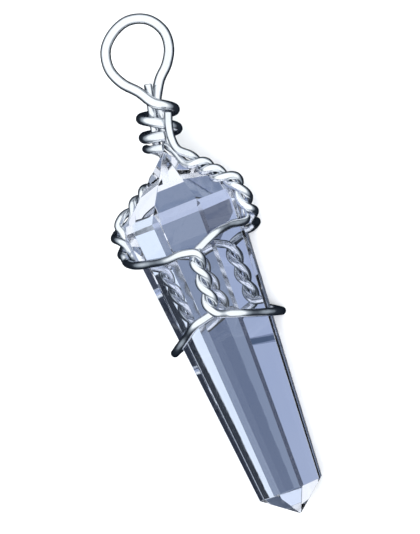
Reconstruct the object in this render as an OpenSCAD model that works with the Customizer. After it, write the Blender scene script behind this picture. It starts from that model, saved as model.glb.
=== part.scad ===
// Pendant: a clear eight-sided quartz point, pointed at both ends, held in a cage of two twisted
// silver wires, with a round loop of thicker wire coiled round the neck of the cage.
// Each wire is drawn along a smooth path worked out from the crystal's own surface.
// The path frame has x to the right, y up the crystal's axis and z to the front.
// Everything is then laid down the way the pendant rests on a table: on its back and right side,
// with the front facing up and towards +X.

/* [Crystal] */
// Length of the tapered body between its two girdles, mm
body_length = 27.3; // [22:0.1:34]
// Width over the corners at the upper, widest girdle, mm
upper_width = 11.42; // [9:0.01:14]
// Width over the corners at the lower girdle, mm
lower_width = 6.44; // [5:0.01:8]
// Height of the upper point above its girdle, mm
upper_point = 5.45; // [4.5:0.05:7]
// Height of the lower point below its girdle, mm
lower_point = 2.45; // [2:0.05:4]

/* [Cage] */
// Thickness of the two cage wires, mm
cage_wire = 0.82; // [0.7:0.01:0.95]
// Free gap kept between neighbouring wires, mm
wire_gap = 0.07; // [0.05:0.01:0.12]
// Free gap kept between a wire and the crystal, mm
seat_gap = 0.08; // [0.05:0.01:0.15]

/* [Bail] */
// Thickness of the bail wire, mm
bail_wire = 1.04; // [0.9:0.01:1.2]
// Inside width of the bail loop, mm
loop_opening = 5; // [4:0.1:7]
// Lean of the neck to the right of the crystal's axis, degrees
neck_lean = 13.4; // [8:0.1:18]

/* [Finish] */
// Sides of the section of a wire
wire_sides = 8; // [6:1:12]
// Distance between two sections of a wire, in wire thicknesses
section_step = 0.5; // [0.35:0.01:0.7]

/* [Hidden] */
// Crystal
facets = 8;
facet_angle = 360 / facets;
// the front facet faces a little to the left
facet_turn = -4;
corner_shrink = cos(facet_angle / 2);
upper_r = upper_width / 2;
lower_r = lower_width / 2;
apex_h = body_length + upper_point;
// the hand-cut upper point stands a little right of the axis
apex_shift = 0.0525 * upper_width;
point_angle = atan2(upper_r, upper_point);

// Wires
strand_r = (cage_wire + wire_gap) / 2;
wire_stand = cage_wire / 2 + seat_gap;
rope_stand = strand_r + wire_stand;

// Neck: two cage wires and the root of the bail wire lie side by side in it
core_half = (cage_wire + wire_gap) / 2;
core_span = sqrt(pow((cage_wire + bail_wire) / 2 + wire_gap, 2) - pow(core_half, 2));
core_sum = core_span + (bail_wire - cage_wire) / 2;
core_set = (pow(core_sum, 2) - pow(core_half, 2)) / (2 * core_sum);
core_cage_r = norm([core_set, core_half]);
core_root_r = core_span - core_set;
core_spread = atan2(core_half, core_set);
root_azimuth = 172;
left_azimuth = root_azimuth - 180 - core_spread;
right_azimuth = root_azimuth - 180 + core_spread;
coil_r = core_root_r + bail_wire + wire_gap / 2;
coil_turns = 2.03;
coil_pitch = 1.635 * bail_wire;
// the turns fall more at the front than at the back, and the last one lies flat on the end of the left wire
coil_sway = 0.21 * bail_wire;
coil_floor = 1.25 * bail_wire;
coil_high = 0.43 * (cage_wire + bail_wire) + 2 * coil_pitch;
loop_r = (loop_opening + bail_wire) / 2;
loop_side = 0.06;
loop_rise = 1.69;

// Lying on the table: rolled about the crystal's axis until it leans on its right side, head end raised
rest_roll = -50.3;
rest_pitch = 4.4;

// Ropes from shoulder to apex: [azimuth from the front, share of the climb, turns of twist so far]
shoulder_h = 0.9 * body_length;
left_rope = [[-95, 0.056, 0.12], [-99.5, 0.141, 0.33], [-112, 0.32, 0.76], [-124, 0.473, 1.16],
    [-134, 0.59, 1.7], [-147.5, 0.678, 2.2], [-176.5, 0.766, 2.72]];
right_rope = [[68.5, -0.003, 0.14], [63, 0.191, 0.68], [61, 0.321, 0.93], [55, 0.511, 1.53],
    [53.5, 0.676, 2.18], [42.5, 0.835, 2.71]];
rope_start = 90;
rope_step = 0.4;
rope_detail = 8;
// degrees of azimuth that weigh as much as the whole climb, and as one turn, in the curve through a rope's rows
climb_weight = 8.2;
turn_weight = 10;

// Front of the cage: [azimuth, height as a share of the body, lift in wire thicknesses]
left_crossing = [[-88, 0.903, 0.85], [-79, 0.891, 0.5], [-67, 0.879, 0.2], [-49, 0.867, 0.1],
    [-26.5, 0.857, 0.07], [-11, 0.857, 0.9]];
right_crossing = [[63.5, 0.892, 0.07], [41, 0.89, 0.1], [18.5, 0.878, 0.04], [8, 0.861, 0]];
left_ring = [[-15, 0.634, 0], [-26.5, 0.626, 0.06], [-49, 0.597, 0.1], [-71.5, 0.568, 0.1]];
right_ring = [[6, 0.621, 0.34], [18.5, 0.606, 0.1], [41, 0.585, 0.1], [63.5, 0.568, 0.1]];
// where each wire comes from the back of the cage to its rope
left_back = [[-104, 0.903, 0.07]];
right_back = [[77, 0.884, 0.38], [96.5, 0.867, 0.7], [114.5, 0.855, 0.06]];

// Front twist: its top and bottom as shares of the body, its sideways place as shares of the width
twist_top = 0.8407;
twist_bottom = 0.6392;
twist_top_x = -0.0105;
twist_bottom_x = -0.0543;
twist_start = 20;
twist_turns = 1.5;
twist_steps = 16;

// Wires at the neck: [azimuth, height above the apex, distance from the neck's middle], in wire thicknesses
left_entry = [[-175, -0.35, 1.3], [-140, 0.45, 0.85], [-103, 0.85, 0.62], [-70, 1.35, 0.68]];
left_wrap = [[-180, -0.35, 2.75], [-160, 0.22, 2.3], [-122, 0.47, 1.95], [-87, 0.52, 1.83],
    [-52, 0.35, 1.8], [-21, 0.33, 1.84], [0, 0.3, 1.9]];
right_entry = [[44, -0.12, 1.71], [34, 0.64, 0.92]];
right_over = [[31, 0, 3.05], [21, 1.2, 3.12], [19, 2.55, 3.15], [21.5, 3.95, 3.2]];

// Bail loop: [angle round its middle, reach in loop radii, depth in coil radii]
loop_table = [[-73, 1.073, -0.27], [-45, 0.957, -0.15], [-15, 0.957, -0.06], [15, 1, 0], [50, 1.01, 0.02],
    [85, 0.97, 0.05], [120, 0.917, 0.08], [155, 0.954, 0.11], [190, 1.003, 0.17], [222, 1.066, 0.34],
    [249, 1.219, 0.68]];

// Small helpers
function unit(v) = v / norm(v);
function half_turn(points) = [for (p = points) [-p[0], p[1], -p[2]]];
function backwards(points) = [for (i = [len(points) - 1:-1:0]) points[i]];
function inner(points, skip_first, skip_last) = [for (i = [skip_first:len(points) - 1 - skip_last]) points[i]];
function column(rows, k) = [for (r = rows) r[k]];

// Place of a row that may carry more after its three coordinates
function place(row) = [row[0], row[1], row[2]];

// Running length along a list of rows
function lengths(p) =
    [for (i = 0, s = 0; i < len(p); i = i + 1, s = i < len(p) ? s + norm(place(p[i]) - place(p[i - 1])) : s) s];

// Radius of the crystal over its corners at height h, grown by off measured square to the surface
function corner_reach(h, off) =
    let (
        body = lower_r + (upper_r - lower_r) * min(h, body_length) / body_length + off,
        point = upper_r * (1 - (h - body_length) / upper_point) + off / cos(point_angle)
    )
    max(min(body, point), 0);

// Point at an azimuth and height that stands off the crystal's facets and corners by off
function around(azimuth, h, off) =
    let (
        bare = corner_reach(h, 0),
        full = corner_reach(h, off),
        turned = (azimuth - facet_turn) / facet_angle,
        aside = (turned - round(turned)) * facet_angle,
        faced = (bare * corner_shrink + full - bare) / cos(aside),
        reach = min(faced, full),
        shift = apex_shift * min(max((h - body_length) / upper_point, 0), 1)
    )
    [reach * sin(azimuth) + shift, h, reach * cos(azimuth)];

// Point at a height above the apex, off the middle line of the leaning neck
function neck(azimuth, above, distance) =
    [apex_shift, apex_h, 0] + [sin(neck_lean), cos(neck_lean), 0] * above / cos(neck_lean)
    + [cos(neck_lean), -sin(neck_lean), 0] * distance * sin(azimuth) + [0, 0, 1] * distance * cos(azimuth);

// Smooth curve through points, its slope at each weighed by the lengths on both sides
function slope_at(p, i) =
    let (
        last = len(p) - 1,
        before = i > 0 ? p[i] - p[i - 1] : p[1] - p[0],
        after = i < last ? p[i + 1] - p[i] : p[last] - p[last - 1],
        a = norm(before),
        b = norm(after)
    )
    (after / b * a + before / a * b) / (a + b);
function between(p0, p1, m0, m1, t) =
    p0 * (2 * t * t * t - 3 * t * t + 1) + p1 * (3 * t * t - 2 * t * t * t)
    + (m0 * (t * t * t - 2 * t * t + t) + m1 * (t * t * t - t * t)) * norm(p1 - p0);
function smooth(p, steps) =
    let (m = [for (i = [0:len(p) - 1]) slope_at(p, i)])
    concat(
        [for (i = [0:len(p) - 2]) for (k = [0:steps - 1]) between(p[i], p[i + 1], m[i], m[i + 1], k / steps)],
        [p[len(p) - 1]]
    );

// The same curve cut into even steps
function even(p, step) =
    let (
        s = lengths(p),
        n = ceil(s[len(s) - 1] / step),
        columns = [0:len(p[0]) - 1],
        at = [for (k = columns) [for (i = [0:len(p) - 1]) [s[i], p[i][k]]]]
    )
    [for (j = [0:n]) [for (k = columns) lookup(s[len(s) - 1] * j / n, at[k])]];

// Middle line of a rope that climbs the crystal, with the turns of twist so far as a fourth number
function rope_line(table) =
    let (
        rows = [for (r = table) [r[0], climb_weight * r[1], turn_weight * r[2]]],
        rise = (apex_h - shoulder_h) / climb_weight,
        climb = smooth(rows, rope_detail)
    )
    even(
        [for (c = climb) concat(around(c[0], shoulder_h + rise * c[1], rope_stand), [c[2] / turn_weight])],
        rope_step
    );

// One strand of a twisted pair, twisted left-handed: start is its angle from outward before the first turn
function strand(rope, start) =
    let (line = [for (row = rope) place(row)], last = len(line) - 1)
    [for (i = [0:last])
        let (
            along = unit(line[min(i + 1, last)] - line[max(i - 1, 0)]),
            out = unit([line[i][0] - apex_shift / 2, 0, line[i][2]]),
            e1 = unit(out - along * (out * along)),
            e2 = cross(along, e1),
            a = start - 360 * rope[i][3]
        )
        line[i] + strand_r * (cos(a) * e1 + sin(a) * e2)];

// One strand of the front twist, from its top down
function twist_strand(start) =
    [for (i = [0:twist_steps])
        let (
            t = i / twist_steps,
            h = body_length * (twist_top + (twist_bottom - twist_top) * t),
            x = upper_width * (twist_top_x + (twist_bottom_x - twist_top_x) * t),
            z = corner_reach(h, 0) * corner_shrink + rope_stand,
            a = start + 360 * twist_turns * t
        )
        [x + strand_r * sin(a), h, z + strand_r * cos(a)]];

function front_points(table) =
    [for (r = table) around(r[0], body_length * r[1], wire_stand + r[2] * cage_wire)];
function neck_points(table) = [for (r = table) neck(r[0], r[1] * cage_wire, r[2] * cage_wire)];
function core_points(azimuth, distance, low, high) =
    [for (i = [0:core_rows - 1]) neck(azimuth, low + (high - low) * i / (core_rows - 1), distance)];

// Each half of the front goes from a shoulder through the twist to the side of the lower ring
left_front = concat(front_points(left_crossing), twist_strand(twist_start), front_points(left_ring));
right_front = concat(front_points(right_crossing), twist_strand(twist_start + 180), front_points(right_ring));

left_line = rope_line(left_rope);
right_line = rope_line(right_rope);

// Heights of the wires in the neck above the apex
left_core_bottom = 2.13 * cage_wire;
right_core_bottom = 1.62 * cage_wire;
left_core_top = coil_high + 1.74 * bail_wire;
right_core_top = coil_high - 0.2 * bail_wire;
root_bottom = 1.39 * bail_wire;
root_top = coil_high + 0.48 * bail_wire;
core_rows = 4;
// where the root leaves the neck and turns up into the loop
root_turn_azimuth = 150;
root_turn_h = coil_high + 1.15 * bail_wire;
root_turn_r = 1.1 * core_root_r;

// The left wire starts inside the coil, goes once round the crystal and ends wrapped round the neck
left_path = concat(
    backwards(core_points(left_azimuth, core_cage_r, left_core_bottom, left_core_top)),
    backwards(neck_points(left_entry)),
    backwards(inner(strand(left_line, rope_start), 0, 1)),
    left_front,
    backwards(half_turn(right_front)),
    front_points(left_back),
    inner(strand(left_line, -rope_start), 1, 2),
    neck_points(left_wrap)
);

// The right wire starts in front of the coil, goes once round the crystal and ends inside the coil
right_path = concat(
    backwards(neck_points(right_over)),
    backwards(inner(strand(right_line, -rope_start), 1, 1)),
    right_front,
    backwards(inner(half_turn(left_front), 3, 0)),
    backwards(front_points(right_back)),
    inner(strand(right_line, rope_start), 0, 1),
    neck_points(right_entry),
    core_points(right_azimuth, core_cage_r, right_core_bottom, right_core_top)
);

// The bail wire rises from the neck, makes the loop and coils down round the neck
loop_middle = neck(0, coil_high, 0) + loop_r * [loop_side, loop_rise, 0];
loop_points = [for (r = loop_table)
    loop_middle + [loop_r * r[1] * cos(r[0]), loop_r * r[1] * sin(r[0]), coil_r * r[2]]];
coil_sections = 33;
coil_points = [for (i = [0:coil_sections])
    let (t = coil_turns * i / coil_sections)
    neck(360 * t, max(coil_high - coil_pitch * t - coil_sway * sin(360 * t), coil_floor), coil_r)];
bail_path = concat(
    core_points(root_azimuth, core_root_r, root_bottom, root_top),
    [neck(root_turn_azimuth, root_turn_h, root_turn_r)],
    loop_points,
    coil_points
);

// Rings of points round an even path, carried along without twisting, with narrowed ends
path_detail = 4;
end_narrow = 0.72;
end_reach = 0.12;
function wire_points(path, thickness) =
    let (
        p = even(smooth(path, path_detail), section_step * thickness),
        last = len(p) - 1,
        t = [for (i = [0:last]) unit(p[min(i + 1, last)] - p[max(i - 1, 0)])],
        first = unit(cross(t[0], [0, 0, 1])),
        u = [for (i = 0, v = first; i <= last; i = i + 1, v = i <= last ? unit(v - t[i] * (v * t[i])) : v) v],
        middle = concat([p[0] - t[0] * end_reach * thickness], p, [p[last] + t[last] * end_reach * thickness]),
        side = concat([u[0]], u, [u[last]]),
        way = concat([t[0]], t, [t[last]])
    )
    [for (i = [0:last + 2]) for (j = [0:wire_sides - 1])
        let (
            r = thickness / 2 * (i == 0 || i == last + 2 ? end_narrow : 1),
            a = 360 * j / wire_sides
        )
        middle[i] + r * (cos(a) * side[i] + sin(a) * cross(way[i], side[i]))];
function wire_faces(n) =
    let (rings = n / wire_sides)
    concat(
        [[for (j = [0:wire_sides - 1]) j]],
        [[for (j = [wire_sides - 1:-1:0]) n - wire_sides + j]],
        [for (i = [0:rings - 2]) for (j = [0:wire_sides - 1]) for (half = [0, 1])
            let (
                a = i * wire_sides + j,
                b = i * wire_sides + (j + 1) % wire_sides,
                c = b + wire_sides,
                d = a + wire_sides
            )
            half == 0 ? [a, d, c] : [a, c, b]]
    );

// Corner points of the crystal: lower tip, lower girdle, upper girdle, apex
function girdle(r, h) =
    [for (k = [0:facets - 1])
        let (a = (k + 0.5) * facet_angle + facet_turn)
        [r * sin(a), h, r * cos(a)]];
crystal_points = concat(
    [[0, -lower_point, 0]],
    girdle(lower_r, 0),
    girdle(upper_r, body_length),
    [[apex_shift, apex_h, 0]]
);
crystal_faces = [for (k = [0:facets - 1]) for (row = [0:2])
    let (
        a = 1 + k,
        b = 1 + (k + 1) % facets,
        c = b + facets,
        d = a + facets
    )
    row == 0 ? [0, a, b] : row == 1 ? [a, d, c, b] : [d, 2 * facets + 1, c]];

left_points = wire_points(left_path, cage_wire);
right_points = wire_points(right_path, cage_wire);
bail_points = wire_points(bail_path, bail_wire);

// Turn from the path frame to the table: first rolled about the crystal's axis, then its head lifted
function tip_over(p) =
    let (
        x = p[0] * cos(rest_roll) - p[2] * sin(rest_roll),
        z = p[0] * sin(rest_roll) + p[2] * cos(rest_roll)
    )
    [x, p[1] * cos(rest_pitch) - z * sin(rest_pitch), p[1] * sin(rest_pitch) + z * cos(rest_pitch)];
function turned(points) = [for (p = points) tip_over(p)];
laid = turned(concat(crystal_points, left_points, right_points, bail_points));
table_shift = -[
    (min(column(laid, 0)) + max(column(laid, 0))) / 2,
    (min(column(laid, 1)) + max(column(laid, 1))) / 2,
    min(column(laid, 2))
];
function placed(points) = [for (p = turned(points)) p + table_shift];

module crystal_point() {
    color([0.8, 0.84, 0.93, 0.45])
    polyhedron(placed(crystal_points), crystal_faces, convexity = 4);
}

module left_cage_wire() {
    color([0.84, 0.85, 0.88])
    polyhedron(placed(left_points), wire_faces(len(left_points)), convexity = 10);
}

module right_cage_wire() {
    color([0.8, 0.81, 0.84])
    polyhedron(placed(right_points), wire_faces(len(right_points)), convexity = 10);
}

module bail_wire_loop() {
    color([0.87, 0.88, 0.9])
    polyhedron(placed(bail_points), wire_faces(len(bail_points)), convexity = 10);
}

crystal_point();
left_cage_wire();
right_cage_wire();
bail_wire_loop();
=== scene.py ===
"""Looks for the crystal point pendant: a clear quartz point in a cage of two silver wires, with a bail loop.

The wires are smooth round tubes carried along the same paths as the solids of the CAD model. Each path is
worked out in the crystal's own frame, in millimetres: x to the right, y up the crystal's axis and z to the
front. Everything is then laid on the table, as the solids are. Each tube, and the crystal, replaces the CAD
node that it stands for.
"""

import bpy
import numpy as np
from mathutils import Matrix, Vector


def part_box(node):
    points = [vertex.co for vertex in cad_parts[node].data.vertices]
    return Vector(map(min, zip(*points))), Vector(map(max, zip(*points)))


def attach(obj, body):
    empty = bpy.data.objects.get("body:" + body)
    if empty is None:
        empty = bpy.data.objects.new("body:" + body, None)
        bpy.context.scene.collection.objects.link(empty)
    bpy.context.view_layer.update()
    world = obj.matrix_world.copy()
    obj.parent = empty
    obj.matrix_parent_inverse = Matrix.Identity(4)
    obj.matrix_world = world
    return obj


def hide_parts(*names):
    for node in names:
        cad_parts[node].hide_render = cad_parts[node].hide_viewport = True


MM = 0.001

# Crystal: widths over the corners, heights up the axis from the lower girdle
BODY_LENGTH = 27.3
UPPER_WIDTH = 11.42
LOWER_WIDTH = 6.44
UPPER_R = UPPER_WIDTH / 2
LOWER_R = LOWER_WIDTH / 2
UPPER_POINT = 5.45
LOWER_POINT = 2.45
FACETS = 8
FACET_ANGLE = 360 / FACETS
FACET_TURN = -4
APEX_H = BODY_LENGTH + UPPER_POINT
APEX_SHIFT = 0.0525 * UPPER_WIDTH
CORNER_SHRINK = np.cos(np.radians(FACET_ANGLE / 2))
POINT_ANGLE = np.arctan2(UPPER_R, UPPER_POINT)

# Wear of the crystal's edges: the bevel's full width, which the upper girdle has, and the share others have
WEAR = 0.42
THIN_WEAR = 0.08
RIGHT_GIRDLE_WEAR = 0.55
LEFT_CORNER_WEAR = 0.9
RIGHT_CORNER_WEAR = 0.5

# Wires
CAGE_WIRE = 0.82
BAIL_WIRE = 1.04
WIRE_GAP = 0.07
SEAT_GAP = 0.08
STRAND_R = (CAGE_WIRE + WIRE_GAP) / 2
WIRE_STAND = CAGE_WIRE / 2 + SEAT_GAP
ROPE_STAND = STRAND_R + WIRE_STAND
# a round tube a little inside the solid's eight-sided section
TUBE_SHARE = 0.94
# cut ends: reach past the last ring in wire thicknesses, and share of the radius there
CUT_END = [[0.1, 0.5], [0.09, 0.74], [0.06, 0.9], [0.02, 0.98]]
# pieces of curve to each span of a wire's path, then the length between its rings and its number of sides
PATH_DETAIL = 8
CAGE_STEP, CAGE_SIDES = 0.13, 24
BAIL_STEP, BAIL_SIDES = 0.15, 28

# Neck: two cage wires and the root of the bail wire lie side by side in it
NECK_LEAN = np.radians(13.4)
CORE_HALF = (CAGE_WIRE + WIRE_GAP) / 2
CORE_SPAN = np.sqrt(((CAGE_WIRE + BAIL_WIRE) / 2 + WIRE_GAP) ** 2 - CORE_HALF**2)
CORE_SUM = CORE_SPAN + (BAIL_WIRE - CAGE_WIRE) / 2
CORE_SET = (CORE_SUM**2 - CORE_HALF**2) / (2 * CORE_SUM)
CORE_CAGE_R = np.hypot(CORE_SET, CORE_HALF)
CORE_ROOT_R = CORE_SPAN - CORE_SET
CORE_SPREAD = np.degrees(np.arctan2(CORE_HALF, CORE_SET))
ROOT_AZIMUTH = 172
LEFT_AZIMUTH = ROOT_AZIMUTH - 180 - CORE_SPREAD
RIGHT_AZIMUTH = ROOT_AZIMUTH - 180 + CORE_SPREAD
COIL_R = CORE_ROOT_R + BAIL_WIRE + WIRE_GAP / 2
COIL_TURNS = 2.03
COIL_SECTIONS = 33
COIL_PITCH = 1.635 * BAIL_WIRE
COIL_SWAY = 0.21 * BAIL_WIRE
COIL_FLOOR = 1.25 * BAIL_WIRE
COIL_HIGH = 0.43 * (CAGE_WIRE + BAIL_WIRE) + 2 * COIL_PITCH
LOOP_OPENING = 5
LOOP_R = (LOOP_OPENING + BAIL_WIRE) / 2
LOOP_SIDE = 0.06
LOOP_RISE = 1.69
# heights above the apex between which each wire runs straight up the neck
CORE_ROWS = 4
LEFT_CORE = (2.13 * CAGE_WIRE, COIL_HIGH + 1.74 * BAIL_WIRE)
RIGHT_CORE = (1.62 * CAGE_WIRE, COIL_HIGH - 0.2 * BAIL_WIRE)
ROOT_CORE = (1.39 * BAIL_WIRE, COIL_HIGH + 0.48 * BAIL_WIRE)

# How the pendant lies on the table
REST_ROLL = np.radians(-50.3)
REST_PITCH = np.radians(4.4)

# Ropes from shoulder to apex: azimuth from the front, share of the climb, turns of twist so far
SHOULDER_H = 0.9 * BODY_LENGTH
LEFT_ROPE = [[-95, 0.056, 0.12], [-99.5, 0.141, 0.33], [-112, 0.32, 0.76], [-124, 0.473, 1.16],
    [-134, 0.59, 1.7], [-147.5, 0.678, 2.2], [-176.5, 0.766, 2.72]]
RIGHT_ROPE = [[68.5, -0.003, 0.14], [63, 0.191, 0.68], [61, 0.321, 0.93], [55, 0.511, 1.53],
    [53.5, 0.676, 2.18], [42.5, 0.835, 2.71]]
ROPE_START = 90
ROPE_STEP = 0.4
ROPE_DETAIL = 8
# degrees of azimuth that weigh as much as the whole climb, and as one turn, in the curve through the rows
CLIMB_WEIGHT = 8.2
TURN_WEIGHT = 10

# Front of the cage: azimuth, height as a share of the body, lift in wire thicknesses
LEFT_CROSSING = [[-88, 0.903, 0.85], [-79, 0.891, 0.5], [-67, 0.879, 0.2], [-49, 0.867, 0.1],
    [-26.5, 0.857, 0.07], [-11, 0.857, 0.9]]
RIGHT_CROSSING = [[63.5, 0.892, 0.07], [41, 0.89, 0.1], [18.5, 0.878, 0.04], [8, 0.861, 0]]
LEFT_RING = [[-15, 0.634, 0], [-26.5, 0.626, 0.06], [-49, 0.597, 0.1], [-71.5, 0.568, 0.1]]
RIGHT_RING = [[6, 0.621, 0.34], [18.5, 0.606, 0.1], [41, 0.585, 0.1], [63.5, 0.568, 0.1]]
# where each wire comes from the back of the cage to its rope
LEFT_BACK = [[-104, 0.903, 0.07]]
RIGHT_BACK = [[77, 0.884, 0.38], [96.5, 0.867, 0.7], [114.5, 0.855, 0.06]]

# Front twist: its top and bottom as shares of the body, its sideways place as shares of the width
TWIST_TOP, TWIST_BOTTOM = 0.8407, 0.6392
TWIST_TOP_X, TWIST_BOTTOM_X = -0.0105, -0.0543
TWIST_START = 20
TWIST_TURNS = 1.5
TWIST_STEPS = 16

# Wires at the neck: azimuth, height above the apex and distance from the neck's middle, in wire thicknesses
LEFT_ENTRY = [[-175, -0.35, 1.3], [-140, 0.45, 0.85], [-103, 0.85, 0.62], [-70, 1.35, 0.68]]
LEFT_WRAP = [[-180, -0.35, 2.75], [-160, 0.22, 2.3], [-122, 0.47, 1.95], [-87, 0.52, 1.83],
    [-52, 0.35, 1.8], [-21, 0.33, 1.84], [0, 0.3, 1.9]]
RIGHT_ENTRY = [[44, -0.12, 1.71], [34, 0.64, 0.92]]
RIGHT_OVER = [[31, 0, 3.05], [21, 1.2, 3.12], [19, 2.55, 3.15], [21.5, 3.95, 3.2]]

# Bail loop: angle round its middle, reach in loop radii, depth in coil radii
LOOP_TABLE = [[-73, 1.073, -0.27], [-45, 0.957, -0.15], [-15, 0.957, -0.06], [15, 1, 0], [50, 1.01, 0.02],
    [85, 0.97, 0.05], [120, 0.917, 0.08], [155, 0.954, 0.11], [190, 1.003, 0.17], [222, 1.066, 0.34],
    [249, 1.219, 0.68]]
# the root's turn into the loop: azimuth, rise over the coil in wire thicknesses, distance in root radii
ROOT_TURN = [150, 1.15, 1.1]

# Finishes: grain in cells a metre, or, along and round a wire, in cells a millimetre
SILVER_RIM = (0.25, 0.29, 0.36)
SILVER_ROUGHNESS = (0.1, 0.2)
DRAW_LINES = (0.6, 22, 1)
DENTS = 900
PATCHES = 420
QUARTZ_IOR = 1.544
DRIFT = 160
MARKS = 1500
WAVES = 500
# nearly all values of a noise lie between these
NOISE_LOW, NOISE_HIGH = 0.3, 0.7

# Picture: way of the crystal's head, the picture's middle in the crystal's frame and its height there
HEAD_LEFT, HEAD_UP = 0.371, 0.928
PICTURE_MIDDLE = [0.637, 21.42, 0]
PICTURE_HEIGHT = 48.55
LENS, SENSOR = 300, 36
CLIP = (0.01, 10)

# Half the floor's width, in mm, its tone, and the lamp over the pendant, in metres and watts
FLOOR = 1500
FLOOR_TONE = (0.9, 0.9, 0.905)
FLOOR_ROUGHNESS = 0.8
LAMP_RISE, LAMP_SIZE, LAMP_POWER = 0.5, 0.4, 5.0

# Glowing cards under the table, which show in the glass alone and paint light and shade into it: depth,
# corners in the row's x and y, and light given
CARDS = {
    # a dark one along the left edge: painted shade in the glass there
    "left_strip": (120, [[-51.5, -7], [-62, -7], [-64, 26], [-54.9, 26]], (0.006, 0.01, 0.02)),
    # one in the left half of the front facet, under the twist: painted shade in the glass there
    "front_half": (120, [[-150, -8], [-168, -8], [-168, 21.5], [-152.8, 21.5]], (0.095, 0.135, 0.24)),
    # one at the top of the next facet to the right, and a streak with a darker core across it under the
    # ring: painted shade in the glass, the streak painted shade of the ring
    "right_top": (3, [[-39, 12], [-39, 5.6], [-22.5, 7.1], [-22.5, 11]], (0.11, 0.135, 0.21)),
    "ring_shade": (3, [[-33.6, -3.9], [-33.2, -4.7], [-20, -6.3], [-20.3, -5.4]], (0.2, 0.25, 0.4)),
    "ring_core": (2.9, [[-33.5, -4.0], [-33.3, -4.6], [-20, -6.1], [-20.2, -5.6]], (0.06, 0.095, 0.18)),
    # a white one in the lower tip: a painted highlight in the glass there
    "tip_white": (60, [[-91.5, 61.5], [-91.5, 49], [-83.5, 49], [-83.5, 56.8]], (0.8, 0.9, 1.1)),
}
CARD_ROUGHNESS = 0.9
CARD_SHINE = 0.2

# Tones that the glass shows
PALE = (0.84, 0.95, 1.1)
SLATE = (0.195, 0.25, 0.38)
PERIWINKLE = (0.38, 0.455, 0.655)
UPRIGHT = (0.03, 0.045, 0.1)
SILL = (0.5, 0.58, 0.8)
DUSK = (0.12, 0.15, 0.22)
WHITE = (1.1, 1.14, 1.22)
NAVY = (0.012, 0.016, 0.03)
HAZE = (0.42, 0.48, 0.6)

# Tones of the tent that the silver shows, the way to its brightest part, and the tone behind the picture
TENT_DARK = (0.018, 0.024, 0.034)
TENT_GREY = (0.33, 0.38, 0.44)
TENT_BRIGHT = (1.06, 1.11, 1.14)
KEY_FRONT, KEY_LEFT, KEY_UP = 0.93, 0.14, 0.1
BACKDROP = (0.93, 0.93, 0.94)

# Times that light may bend or mirror on its way
GLASS_BOUNCES = 24
GLOSSY_BOUNCES = 8


def unit(v):
    """Each row of v divided by its length."""
    return v / np.linalg.norm(v, axis=-1, keepdims=True)


def half_turn(points):
    """The points turned half round the crystal's axis: x and z change sign."""
    return points * np.array([-1, 1, -1])


def corner_reach(h, off):
    """Radius of the crystal over its corners at height h, grown by off square to the surface: the lesser of
    the body's taper, straight from the lower to the upper girdle, and the upper point's, straight up to the
    apex."""
    body = LOWER_R + (UPPER_R - LOWER_R) * np.minimum(h, BODY_LENGTH) / BODY_LENGTH + off
    point = UPPER_R * (1 - (h - BODY_LENGTH) / UPPER_POINT) + off / np.cos(POINT_ANGLE)
    return np.maximum(np.minimum(body, point), 0)


def around(azimuth, h, off):
    """Points that stand off the crystal by off: on a facet the flat's distance over the cosine of the angle
    from its middle, at a corner the corner's own reach, and the lesser of the two in between."""
    bare = corner_reach(h, 0)
    full = corner_reach(h, off)
    turned = (azimuth - FACET_TURN) / FACET_ANGLE
    aside = np.radians((turned - np.round(turned)) * FACET_ANGLE)
    reach = np.minimum((bare * CORNER_SHRINK + full - bare) / np.cos(aside), full)
    shift = APEX_SHIFT * np.clip((h - BODY_LENGTH) / UPPER_POINT, 0, 1)
    a = np.radians(azimuth)
    return np.stack([reach * np.sin(a) + shift, h, reach * np.cos(a)], -1)


def neck(azimuth, above, distance):
    """Points round the leaning neck: up its middle line from the apex to a height above it, then out square
    to that line by distance, at an azimuth from the front."""
    azimuth, above, distance = np.broadcast_arrays(*np.atleast_1d(np.radians(azimuth), above, distance))
    stem = np.array([np.sin(NECK_LEAN), np.cos(NECK_LEAN), 0])
    beside = np.array([np.cos(NECK_LEAN), -np.sin(NECK_LEAN), 0])
    before = np.array([0, 0, 1])
    return (
        np.array([APEX_SHIFT, APEX_H, 0])
        + (above / np.cos(NECK_LEAN))[:, None] * stem
        + (distance * np.sin(azimuth))[:, None] * beside
        + (distance * np.cos(azimuth))[:, None] * before
    )


def smooth(points, steps):
    """Cubic curve through the points, steps pieces to each span. The slope at a point is the mean of the
    chords beside it, each weighed by the length of the other, and an end's slope is its own chord's."""
    chord = np.diff(points, axis=0)
    size = np.linalg.norm(chord, axis=1)[:, None]
    way = chord / size
    inner = (way[1:] * size[:-1] + way[:-1] * size[1:]) / (size[:-1] + size[1:])
    slope = np.concatenate([way[:1], inner, way[-1:]])
    t = (np.arange(steps) / steps)[None, :, None]
    p0, p1 = points[:-1, None], points[1:, None]
    m0, m1 = slope[:-1, None] * size[:, None], slope[1:, None] * size[:, None]
    curve = (
        p0 * (2 * t**3 - 3 * t**2 + 1)
        + p1 * (3 * t**2 - 2 * t**3)
        + m0 * (t**3 - 2 * t**2 + t)
        + m1 * (t**3 - t**2)
    )
    return np.concatenate([curve.reshape(-1, points.shape[1]), points[-1:]])


def run_lengths(points):
    """Running length along the points, 0 at the first."""
    return np.concatenate([[0], np.cumsum(np.linalg.norm(np.diff(points, axis=0), axis=1))])


def even(points, step):
    """The same curve cut into equal lengths of about step. What its rows carry after the three coordinates
    is cut with them."""
    run = run_lengths(points[:, :3])
    at = np.linspace(0, run[-1], int(np.ceil(run[-1] / step)) + 1)
    return np.stack([np.interp(at, run, column) for column in points.T], -1)


def ways(points):
    """Direction of travel at each point, from the one before it to the one after it."""
    padded = np.concatenate([points[:1], points, points[-1:]])
    return unit(padded[2:] - padded[:-2])


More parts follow.
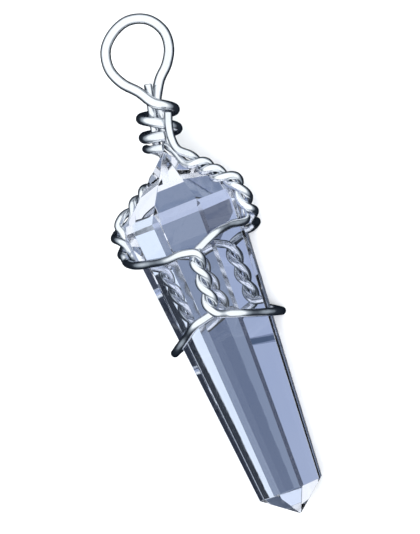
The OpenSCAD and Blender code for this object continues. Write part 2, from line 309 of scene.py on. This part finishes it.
def rope_line(table):
    """Middle line of a rope that climbs the crystal, with the turns of twist so far as a fourth number:
    azimuth, height and turns run smoothly through the table, and the line stands off the facets by the
    rope's own radius."""
    weight = [1, CLIMB_WEIGHT, TURN_WEIGHT]
    azimuth, share, turns = (smooth(np.array(table) * weight, ROPE_DETAIL) / weight).T
    line = around(azimuth, SHOULDER_H + (APEX_H - SHOULDER_H) * share, ROPE_STAND)
    return even(np.concatenate([line, turns[:, None]], 1), ROPE_STEP)


def strand(rope, start):
    """One strand of a twisted pair: a left-handed helix of STRAND_R round the rope's line, whose angle from
    outward is start less the turns so far."""
    line, turns = rope[:, :3], rope[:, 3:]
    way = ways(line)
    out = unit(line * [1, 0, 1] - [APEX_SHIFT / 2, 0, 0])
    e1 = unit(out - way * np.sum(out * way, 1)[:, None])
    e2 = np.cross(way, e1)
    a = np.radians(start - 360 * turns)
    return line + STRAND_R * (np.cos(a) * e1 + np.sin(a) * e2)


def twist_strand(start):
    """One strand of the front twist, from its top down: a helix of STRAND_R round a line that stands off
    the front facet by the rope's radius and drifts a little to the left."""
    t = np.arange(TWIST_STEPS + 1) / TWIST_STEPS
    h = BODY_LENGTH * (TWIST_TOP + (TWIST_BOTTOM - TWIST_TOP) * t)
    x = UPPER_WIDTH * (TWIST_TOP_X + (TWIST_BOTTOM_X - TWIST_TOP_X) * t)
    z = corner_reach(h, 0) * CORNER_SHRINK + ROPE_STAND
    a = np.radians(start + 360 * TWIST_TURNS * t)
    return np.stack([x + STRAND_R * np.sin(a), h, z + STRAND_R * np.cos(a)], -1)


def front_points(table):
    """Points of a bare wire on the crystal, from azimuth, share of the body's length and lift in
    thicknesses: it stands off the facets by half its thickness, the gap and the lift."""
    azimuth, share, lift = np.array(table, float).T
    return around(azimuth, BODY_LENGTH * share, WIRE_STAND + lift * CAGE_WIRE)


def neck_points(table):
    """Points of a cage wire at the neck, with height and distance in wire thicknesses."""
    azimuth, above, distance = np.array(table, float).T
    return neck(azimuth, above * CAGE_WIRE, distance * CAGE_WIRE)


def core_points(azimuth, distance, low, high):
    """Evenly spaced points straight up the neck, side by side with the other wires in it."""
    return neck(azimuth, np.linspace(low, high, CORE_ROWS), distance)


def cage_paths():
    """Paths of the left and the right cage wire. Each comes down its rope from the neck, runs over the
    front, through the front twist to the ring, then round the back, which is the other wire's front turned
    half round the axis, and up the rope again. The left wire starts inside the coil and ends wrapped round
    the neck; the right one starts in front of the coil and ends inside it."""
    left_front = np.concatenate(
        [front_points(LEFT_CROSSING), twist_strand(TWIST_START), front_points(LEFT_RING)]
    )
    right_front = np.concatenate(
        [front_points(RIGHT_CROSSING), twist_strand(TWIST_START + 180), front_points(RIGHT_RING)]
    )
    left_line, right_line = rope_line(LEFT_ROPE), rope_line(RIGHT_ROPE)
    left = np.concatenate([
        core_points(LEFT_AZIMUTH, CORE_CAGE_R, *LEFT_CORE)[::-1],
        neck_points(LEFT_ENTRY)[::-1],
        strand(left_line, ROPE_START)[:-1][::-1],
        left_front,
        half_turn(right_front)[::-1],
        front_points(LEFT_BACK),
        strand(left_line, -ROPE_START)[1:-2],
        neck_points(LEFT_WRAP),
    ])
    right = np.concatenate([
        neck_points(RIGHT_OVER)[::-1],
        strand(right_line, -ROPE_START)[1:-1][::-1],
        right_front,
        half_turn(left_front)[3:][::-1],
        front_points(RIGHT_BACK)[::-1],
        strand(right_line, ROPE_START)[:-1],
        neck_points(RIGHT_ENTRY),
        core_points(RIGHT_AZIMUTH, CORE_CAGE_R, *RIGHT_CORE),
    ])
    return left, right


def bail_path():
    """Path of the bail wire: up the neck, round the loop, then down the neck in a coil whose front falls
    more than its back and whose last turn lies flat at COIL_FLOOR."""
    middle = neck(0, COIL_HIGH, 0)[0] + LOOP_R * np.array([LOOP_SIDE, LOOP_RISE, 0])
    angle, reach, depth = np.array(LOOP_TABLE, float).T
    angle = np.radians(angle)
    loop = middle + np.stack(
        [LOOP_R * reach * np.cos(angle), LOOP_R * reach * np.sin(angle), COIL_R * depth], -1
    )
    turns = np.linspace(0, COIL_TURNS, COIL_SECTIONS + 1)
    fall = COIL_HIGH - COIL_PITCH * turns - COIL_SWAY * np.sin(2 * np.pi * turns)
    azimuth, rise, distance = ROOT_TURN
    return np.concatenate([
        core_points(ROOT_AZIMUTH, CORE_ROOT_R, *ROOT_CORE),
        neck(azimuth, COIL_HIGH + rise * BAIL_WIRE, distance * CORE_ROOT_R),
        loop,
        neck(360 * turns, np.maximum(fall, COIL_FLOOR), COIL_R),
    ])


def tip_over(points):
    """Turn from the crystal's frame to the table: a roll about the crystal's axis, then the head lifted."""
    x = points[..., 0] * np.cos(REST_ROLL) - points[..., 2] * np.sin(REST_ROLL)
    z = points[..., 0] * np.sin(REST_ROLL) + points[..., 2] * np.cos(REST_ROLL)
    y = points[..., 1]
    lifted = y * np.sin(REST_PITCH) + z * np.cos(REST_PITCH)
    return np.stack([x, y * np.cos(REST_PITCH) - z * np.sin(REST_PITCH), lifted], -1)


def crystal_corners():
    """Corners of the crystal: the lower tip, the rings of the lower and the upper girdle, whose corners
    stand half a facet past each facet's middle, and the apex."""
    a = np.radians((np.arange(FACETS) + 0.5) * FACET_ANGLE + FACET_TURN)
    ring = np.stack([np.sin(a), 0 * a, np.cos(a)], -1)
    return np.concatenate([
        [[0, -LOWER_POINT, 0]],
        LOWER_R * ring,
        UPPER_R * ring + [0, BODY_LENGTH, 0],
        [[APEX_SHIFT, APEX_H, 0]],
    ])


def laid(points, shift):
    """Points of the crystal's frame, in mm, as they lie in the row frame, in metres."""
    return tip_over(points) * MM + shift


def tube_frame(path):
    """The way along the path and two directions square to it at each point, which don't twist along it. A
    first pair comes from the world axis that lies least along the path; the angle by which it turns from
    each point to the next, summed from the start, is then taken out of it."""
    way = ways(path)
    axis = np.eye(3)[np.argmin(np.abs(way), axis=1)]
    u = unit(np.cross(way, axis))
    v = np.cross(way, u)
    carried = u[:-1] - way[1:] * np.sum(u[:-1] * way[1:], 1)[:, None]
    turned = np.arctan2(np.sum(carried * v[1:], 1), np.sum(carried * u[1:], 1))
    a = np.concatenate([[0], np.cumsum(turned)])[:, None]
    return way, np.cos(a) * u + np.sin(a) * v, np.cos(a) * v - np.sin(a) * u


def tube_faces(rings, sides):
    """Faces of a tube of so many rings, with a pole past either end: quads from ring to ring, whose corners
    are counted round each ring in turn, and triangles to the poles, which are counted last."""
    i, j = np.meshgrid(np.arange(rings - 1), np.arange(sides), indexing="ij")
    k = (j + 1) % sides
    here, there = i * sides, (i + 1) * sides
    quads = np.stack([here + j, here + k, there + k, there + j], -1).reshape(-1, 4)
    side, after = j[0], k[0]
    last_ring, pole = (rings - 1) * sides, 0 * side + rings * sides
    first = np.stack([pole, after, side], -1)
    last = np.stack([pole + 1, last_ring + side, last_ring + after], -1)
    return quads.tolist() + first.tolist() + last.tolist()


def tube_uv(run, turn, sides):
    """UV corners of the same faces: the length run at the ring, and the number of sides passed times turn.
    A pole's corner lies over the middle of its triangle's side."""
    i, j = np.meshgrid(np.arange(len(run) - 1), np.arange(sides), indexing="ij")
    side = j[0]
    low, high = 0 * side + run[0], 0 * side + run[-1]
    faces = (
        ((run[i], j), (run[i], j + 1), (run[i + 1], j + 1), (run[i + 1], j)),
        ((low, side + 0.5), (low, side + 1), (low, side)),
        ((high, side + 0.5), (high, side), (high, side + 1)),
    )
    return np.concatenate([
        np.stack([np.stack([u, v * turn], -1) for u, v in corners], -2).reshape(-1, 2) for corners in faces
    ])


def new_object(name, points, faces, material):
    """A mesh object at the origin from arrays of points and faces, shaded smooth."""
    mesh = bpy.data.meshes.new(name)
    mesh.from_pydata(points, [], faces)
    mesh.validate()
    mesh.shade_smooth()
    mesh.materials.append(material)
    obj = bpy.data.objects.new(name, mesh)
    bpy.context.collection.objects.link(obj)
    return obj


def wire(name, points, thickness, shift, sides, step, material):
    """Round wire along a path: radius times (cos, sin) round each point of the even path, with rings that
    narrow quickly to a pole at both ends, as on wire that was cut and filed. Its UV map is the length run
    and the way round, both in millimetres."""
    path = even(smooth(points, PATH_DETAIL), step)
    way, u, v = tube_frame(path)
    full = thickness / 2 * TUBE_SHARE
    reach, share = np.array(CUT_END).T
    reach = reach * thickness
    ends = len(reach)
    before, past = path[:1] - way[:1] * reach[:, None], path[-1:] + way[-1:] * reach[::-1, None]
    middle = np.concatenate([before, path, past])
    u, v = (np.concatenate([np.repeat(w[:1], ends, 0), w, np.repeat(w[-1:], ends, 0)]) for w in (u, v))
    run = run_lengths(path)
    run = np.concatenate([-reach, run, run[-1] + reach[::-1]])
    radius = full * np.concatenate([share, np.ones(len(path)), share[::-1]])
    a = np.arange(sides) * 2 * np.pi / sides
    circle = np.cos(a)[None, :, None] * u[:, None] + np.sin(a)[None, :, None] * v[:, None]
    rings = middle[:, None] + radius[:, None, None] * circle
    corners = laid(np.concatenate([rings.reshape(-1, 3), middle[[0, -1]]]), shift)
    obj = new_object(name, corners.tolist(), tube_faces(len(middle), sides), material)
    layer = obj.data.uv_layers.new(name="run")
    layer.data.foreach_set("uv", tube_uv(run, 2 * np.pi * full / sides, sides).ravel())
    return obj


def crystal(shift, clear, worn):
    """The quartz point: girdle corners on two circles, the tip and the apex, joined by flat facets. A bevel
    wears its edges down: it is widest along the upper girdle and nearly as wide at the body's left front
    corner, about half that at the right front corner and on the girdle just past it, and hairline on all
    others."""
    corner = np.arange(FACETS)
    after = (corner + 1) % FACETS
    tip, apex = 0 * corner, 0 * corner + 2 * FACETS + 1
    low, high = 1 + corner, 1 + FACETS + corner
    low2, high2 = 1 + after, 1 + FACETS + after
    faces = np.stack([tip, low2, low], -1).tolist()
    faces += np.stack([low, low2, high2, high], -1).tolist()
    faces += np.stack([high, high2, apex], -1).tolist()
    obj = new_object("quartz_point", laid(crystal_corners(), shift).tolist(), faces, clear)
    mesh = obj.data
    mesh.materials.append(worn)
    mesh.shade_flat()
    edges = np.array([edge.vertices[:] for edge in mesh.edges])
    wear = np.full(len(edges), THIN_WEAR)
    for ends, share in (
        (high, 1.0),
        (high[:2], RIGHT_GIRDLE_WEAR),
        ((low[-1], high[-1]), LEFT_CORNER_WEAR),
        ((low[0], high[0]), RIGHT_CORNER_WEAR),
    ):
        wear[np.isin(edges, ends).all(axis=1)] = share
    mesh.attributes.new("bevel_weight_edge", "FLOAT", "EDGE").data.foreach_set("value", wear)
    bevel = obj.modifiers.new("polished_edges", "BEVEL")
    bevel.limit_method = "WEIGHT"
    bevel.width = WEAR * MM
    bevel.segments = 1
    bevel.material = 1
    return obj


def shader(name):
    """A new material, its nodes' tree and its Principled shader."""
    mat = bpy.data.materials.new(name)
    mat.use_nodes = True
    return mat, mat.node_tree, mat.node_tree.nodes["Principled BSDF"]


def link(tree, source, target):
    """Joins two sockets."""
    tree.links.new(source, target)


def spread(tree, source, low, high):
    """A noise, spread so that it runs straight from low at NOISE_LOW to high at NOISE_HIGH and no
    further."""
    node = tree.nodes.new("ShaderNodeMapRange")
    node.inputs["From Min"].default_value = NOISE_LOW
    node.inputs["From Max"].default_value = NOISE_HIGH
    node.inputs["To Min"].default_value = low
    node.inputs["To Max"].default_value = high
    link(tree, source, node.inputs["Value"])
    return node.outputs["Result"]


def noise(tree, vector, scale, detail, rough, dims="3D"):
    """Noise on a vector: scale cells to its unit, with detail finer layers that each keep rough of the
    last."""
    node = tree.nodes.new("ShaderNodeTexNoise")
    node.noise_dimensions = dims
    node.inputs["Scale"].default_value = scale
    node.inputs["Detail"].default_value = detail
    node.inputs["Roughness"].default_value = rough
    link(tree, vector, node.inputs["Vector"])
    return node.outputs["Fac"]


def blend(tree, share, first, second):
    """The first colour where share is 0 and the second where it is 1. Each is a plain colour or a
    socket."""
    node = tree.nodes.new("ShaderNodeMix")
    node.data_type = "RGBA"
    link(tree, share, node.inputs["Factor"])
    for side, shade in (("A", first), ("B", second)):
        if isinstance(shade, tuple):
            node.inputs[side].default_value = (*shade, 1)
        else:
            link(tree, shade, node.inputs[side])
    return node.outputs["Result"]


def bump(tree, height, strength, depth, under=None):
    """Tilts the surface by a height of up to depth mm, over another bump where there is one."""
    node = tree.nodes.new("ShaderNodeBump")
    node.inputs["Strength"].default_value = strength
    node.inputs["Distance"].default_value = depth * MM
    link(tree, height, node.inputs["Height"])
    if under is not None:
        link(tree, under, node.inputs["Normal"])
    return node.outputs["Normal"]


def silver(name, bright, dull):
    """Bright silver-plated wire: nearly white, with draw lines along it, small dents from the pliers and
    patches that are a little duller."""
    mat, tree, bsdf = shader(name)
    bsdf.inputs["Metallic"].default_value = 1.0
    bsdf.inputs["Specular Tint"].default_value = (*SILVER_RIM, 1)
    place = tree.nodes.new("ShaderNodeTexCoord").outputs["Object"]
    uv = tree.nodes.new("ShaderNodeUVMap")
    uv.uv_map = "run"
    stretch = tree.nodes.new("ShaderNodeMapping")
    stretch.inputs["Scale"].default_value = DRAW_LINES
    link(tree, uv.outputs["UV"], stretch.inputs["Vector"])
    lines = noise(tree, stretch.outputs["Vector"], scale=1.0, detail=4.0, rough=0.6, dims="2D")
    dents = noise(tree, place, DENTS, detail=2.0, rough=0.45)
    patches = noise(tree, place, PATCHES, detail=3.0, rough=0.55)
    link(tree, blend(tree, spread(tree, patches, 0, 1), bright, dull), bsdf.inputs["Base Color"])
    link(tree, spread(tree, patches, *SILVER_ROUGHNESS), bsdf.inputs["Roughness"])
    fine = bump(tree, lines, strength=0.25, depth=0.01)
    link(tree, bump(tree, dents, strength=0.6, depth=0.05, under=fine), bsdf.inputs["Normal"])
    return mat


def quartz(name, cool, warm, roughness, waviness):
    """Clear quartz: light goes through it and bends, the colour drifts a little, and the polish is faintly
    wavy."""
    mat, tree, bsdf = shader(name)
    bsdf.inputs["Transmission Weight"].default_value = 1.0
    bsdf.inputs["IOR"].default_value = QUARTZ_IOR
    place = tree.nodes.new("ShaderNodeTexCoord").outputs["Object"]
    drift = noise(tree, place, DRIFT, detail=2.0, rough=0.5)
    link(tree, blend(tree, spread(tree, drift, 0, 1), cool, warm), bsdf.inputs["Base Color"])
    marks = noise(tree, place, MARKS, detail=3.0, rough=0.6)
    link(tree, spread(tree, marks, *roughness), bsdf.inputs["Roughness"])
    waves = noise(tree, place, WAVES, detail=2.0, rough=0.4)
    link(tree, bump(tree, waves, strength=waviness, depth=0.02), bsdf.inputs["Normal"])
    return mat


def card(name, depth, corners, tone, roughness):
    """A flat level card of the studio and its shader, from the depth under the table's top and the corners'
    x and y, all in mm."""
    mat, _, bsdf = shader(name)
    bsdf.inputs["Base Color"].default_value = (*tone, 1)
    bsdf.inputs["Roughness"].default_value = roughness
    bsdf.inputs["Specular IOR Level"].default_value = CARD_SHINE
    obj = new_object(name, [(x * MM, y * MM, -depth * MM) for x, y in corners], [(0, 1, 2, 3)], mat)
    return obj, bsdf


def towards(tree, direction, axis):
    """How far a direction points along an axis, from -1 to 1: their dot product."""
    node = tree.nodes.new("ShaderNodeVectorMath")
    node.operation = "DOT_PRODUCT"
    node.inputs[1].default_value = tuple(float(k) for k in axis)
    link(tree, direction, node.inputs[0])
    return node.outputs["Value"]


def fade(tree, source, start, full):
    """A smooth step from 0 where the source is start to 1 where it is full."""
    node = tree.nodes.new("ShaderNodeMapRange")
    node.interpolation_type = "SMOOTHSTEP"
    node.inputs["From Min"].default_value = start
    node.inputs["From Max"].default_value = full
    link(tree, source, node.inputs["Value"])
    return node.outputs["Result"]


def layered(tree, base, *layers):
    """A base tone with others over it in turn. Each layer is a source, where on it the layer starts, where
    it covers all below it, and its tone."""
    for source, start, full, tone in layers:
        base = blend(tree, fade(tree, source, start, full), base, tone)
    return base


def softbox(name, place, aim, size, power):
    """A square soft light at a place, facing aim, that neither the silver nor the glass shows."""
    lamp = bpy.data.lights.new(name, "AREA")
    lamp.shape = "SQUARE"
    lamp.size = size
    lamp.energy = power
    obj = bpy.data.objects.new(name, lamp)
    bpy.context.collection.objects.link(obj)
    obj.location = place
    obj.rotation_euler = Vector(aim - place).to_track_quat("-Z", "Y").to_euler()
    obj.visible_glossy = False
    obj.visible_transmission = False
    return obj


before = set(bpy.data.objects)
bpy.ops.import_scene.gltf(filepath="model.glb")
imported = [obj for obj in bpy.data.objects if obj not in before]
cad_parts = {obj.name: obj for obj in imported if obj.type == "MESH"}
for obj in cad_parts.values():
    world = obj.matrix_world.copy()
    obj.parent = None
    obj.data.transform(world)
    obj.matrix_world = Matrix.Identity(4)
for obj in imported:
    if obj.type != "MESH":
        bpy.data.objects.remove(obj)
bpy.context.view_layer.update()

# Where the crystal's frame lies: the solids' own crystal gives the shift
lying = tip_over(crystal_corners()) * MM
SHIFT = np.array(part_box("crystal_point")[0]) - lying.min(axis=0)

cage_silver = silver("cage_silver", bright=(0.96, 0.97, 0.985), dull=(0.86, 0.88, 0.91))
bail_silver = silver("bail_silver", bright=(0.97, 0.975, 0.985), dull=(0.88, 0.9, 0.925))
clear_quartz = quartz(
    "clear_quartz", cool=(0.9, 0.925, 1.0), warm=(0.97, 0.975, 1.0), roughness=(0.0, 0.03), waviness=0.06
)
quartz_edges = quartz(
    "quartz_edges", cool=(0.95, 0.96, 1.0), warm=(1.0, 1.0, 1.0), roughness=(0.14, 0.2), waviness=0.12
)

left_path, right_path = cage_paths()
left_wire = wire("left_wire", left_path, CAGE_WIRE, SHIFT, CAGE_SIDES, CAGE_STEP, cage_silver)
right_wire = wire("right_wire", right_path, CAGE_WIRE, SHIFT, CAGE_SIDES, CAGE_STEP, cage_silver)
bail_wire = wire("bail_wire", bail_path(), BAIL_WIRE, SHIFT, BAIL_SIDES, BAIL_STEP, bail_silver)
point = crystal(SHIFT, clear_quartz, quartz_edges)

for piece, node, slot in (
    (left_wire, "left_cage_wire", "cage_silver"),
    (right_wire, "right_cage_wire", "cage_silver"),
    (bail_wire, "bail_wire_loop", "bail_silver"),
    (point, "crystal_point", "quartz"),
):
    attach(piece, "root")
    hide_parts(node)

# The crystal's own directions as they lie: across to its right, along its axis to the head, and out of its
# front
across, along, front = (tip_over(np.array(v)) for v in ([1.0, 0, 0], [0, 1.0, 0], [0, 0, 1.0]))

# Camera: square to the pendant's front, turned so that the pendant hangs as in the photograph
tilt = np.arctan2(HEAD_LEFT, HEAD_UP)
right = np.cos(tilt) * across - np.sin(tilt) * along
up = np.sin(tilt) * across + np.cos(tilt) * along
target = laid(np.array(PICTURE_MIDDLE), SHIFT)
stand_off = PICTURE_HEIGHT * MM * LENS / SENSOR
camera_data = bpy.data.cameras.new("camera")
camera_data.lens = LENS
camera_data.sensor_width = SENSOR
camera_data.clip_start, camera_data.clip_end = CLIP
camera = bpy.data.objects.new("camera", camera_data)
bpy.context.collection.objects.link(camera)
axes = np.stack([right, up, front], 1)
camera.matrix_world = Matrix.Translation(Vector(target + front * stand_off)) @ Matrix(axes.tolist()).to_4x4()
bpy.context.scene.camera = camera

# Studio: a pale floor that neither glass nor silver shows, the glowing cards under it, which paint light and
# shade into the glass, and a soft lamp over the pendant
floor_corners = [[-FLOOR, -FLOOR], [FLOOR, -FLOOR], [FLOOR, FLOOR], [-FLOOR, FLOOR]]
floor, _ = card("floor", 0, floor_corners, FLOOR_TONE, FLOOR_ROUGHNESS)
floor.visible_transmission = False
floor.visible_glossy = False
# Each card glows with its tone, and only rays through the glass see it: painted light and shade in the stone
for name, (depth, corners, glow) in CARDS.items():
    under, bsdf = card(name, depth, corners, (0.0, 0.0, 0.0), CARD_ROUGHNESS)
    bsdf.inputs["Emission Color"].default_value = (*glow, 1)
    bsdf.inputs["Emission Strength"].default_value = 1.0
    under.visible_camera = under.visible_diffuse = under.visible_glossy = under.visible_shadow = False
softbox("overhead", target + LAMP_RISE * front, target, LAMP_SIZE, LAMP_POWER)

world = bpy.data.worlds.new("studio")
bpy.context.scene.world = world
world.use_nodes = True
sky = world.node_tree
outward = sky.nodes.new("ShaderNodeTexCoord").outputs["Generated"]
aside = towards(sky, outward, across)
lift = towards(sky, outward, along)
facing = towards(sky, outward, front)

# Far up the crystal's axis, which the lower tip shows: dusky, with one white gap and a nearly black end
upward = layered(
    sky, NAVY, (aside, -0.72, -0.66, DUSK), (aside, -0.5, -0.44, WHITE), (aside, -0.28, -0.18, DUSK)
)
# Down the axis, which the upper point shows: periwinkle to the left, then slate, and white to the right
downward = layered(sky, PERIWINKLE, (aside, -0.66, -0.58, SLATE), (aside, 0.14, 0.3, WHITE))
# To the sides and the front: white low down, and above that dusk, nearly black and haze from left to right
forward = layered(
    sky,
    DUSK,
    (aside, -0.34, -0.27, NAVY),
    (aside, -0.05, 0.05, HAZE),
    (lift, 0.32, 0.24, WHITE),
    (aside, 0.3, 0.45, HAZE),
)
# All that the glass shows: slate straight behind, periwinkle to the left and pale to the right, with a dark
# upright where the body's worn corners look and a light sill where the upper girdle does, and white far
# down the axis
wall = layered(
    sky,
    PERIWINKLE,
    (aside, -0.32, -0.22, UPRIGHT),
    (aside, -0.15, -0.06, SLATE),
    (lift, -0.04, -0.14, SILL),
    (aside, 0.24, 0.34, PALE),
    (lift, -0.28, -0.37, downward),
    (lift, -0.55, -0.7, WHITE),
    (lift, 0.3, 0.48, upward),
    (facing, -0.35, -0.12, forward),
)

# Over the silver: bright from the front and the upper left, grey beside it and nearly black from behind
key = towards(sky, outward, unit(KEY_FRONT * front - KEY_LEFT * right + KEY_UP * up))
tent = layered(sky, TENT_DARK, (key, -0.3, 0.16, TENT_GREY), (key, 0.08, 0.5, TENT_BRIGHT))
rays = sky.nodes.new("ShaderNodeLightPath")
shown = blend(sky, rays.outputs["Is Transmission Ray"], tent, wall)
shown = blend(sky, rays.outputs["Is Camera Ray"], shown, BACKDROP)
link(sky, shown, sky.nodes["Background"].inputs["Color"])

scene = bpy.context.scene
scene.view_settings.view_transform = "Standard"
scene.cycles.max_bounces = GLASS_BOUNCES
scene.cycles.transmission_bounces = GLASS_BOUNCES
scene.cycles.glossy_bounces = GLOSSY_BOUNCES
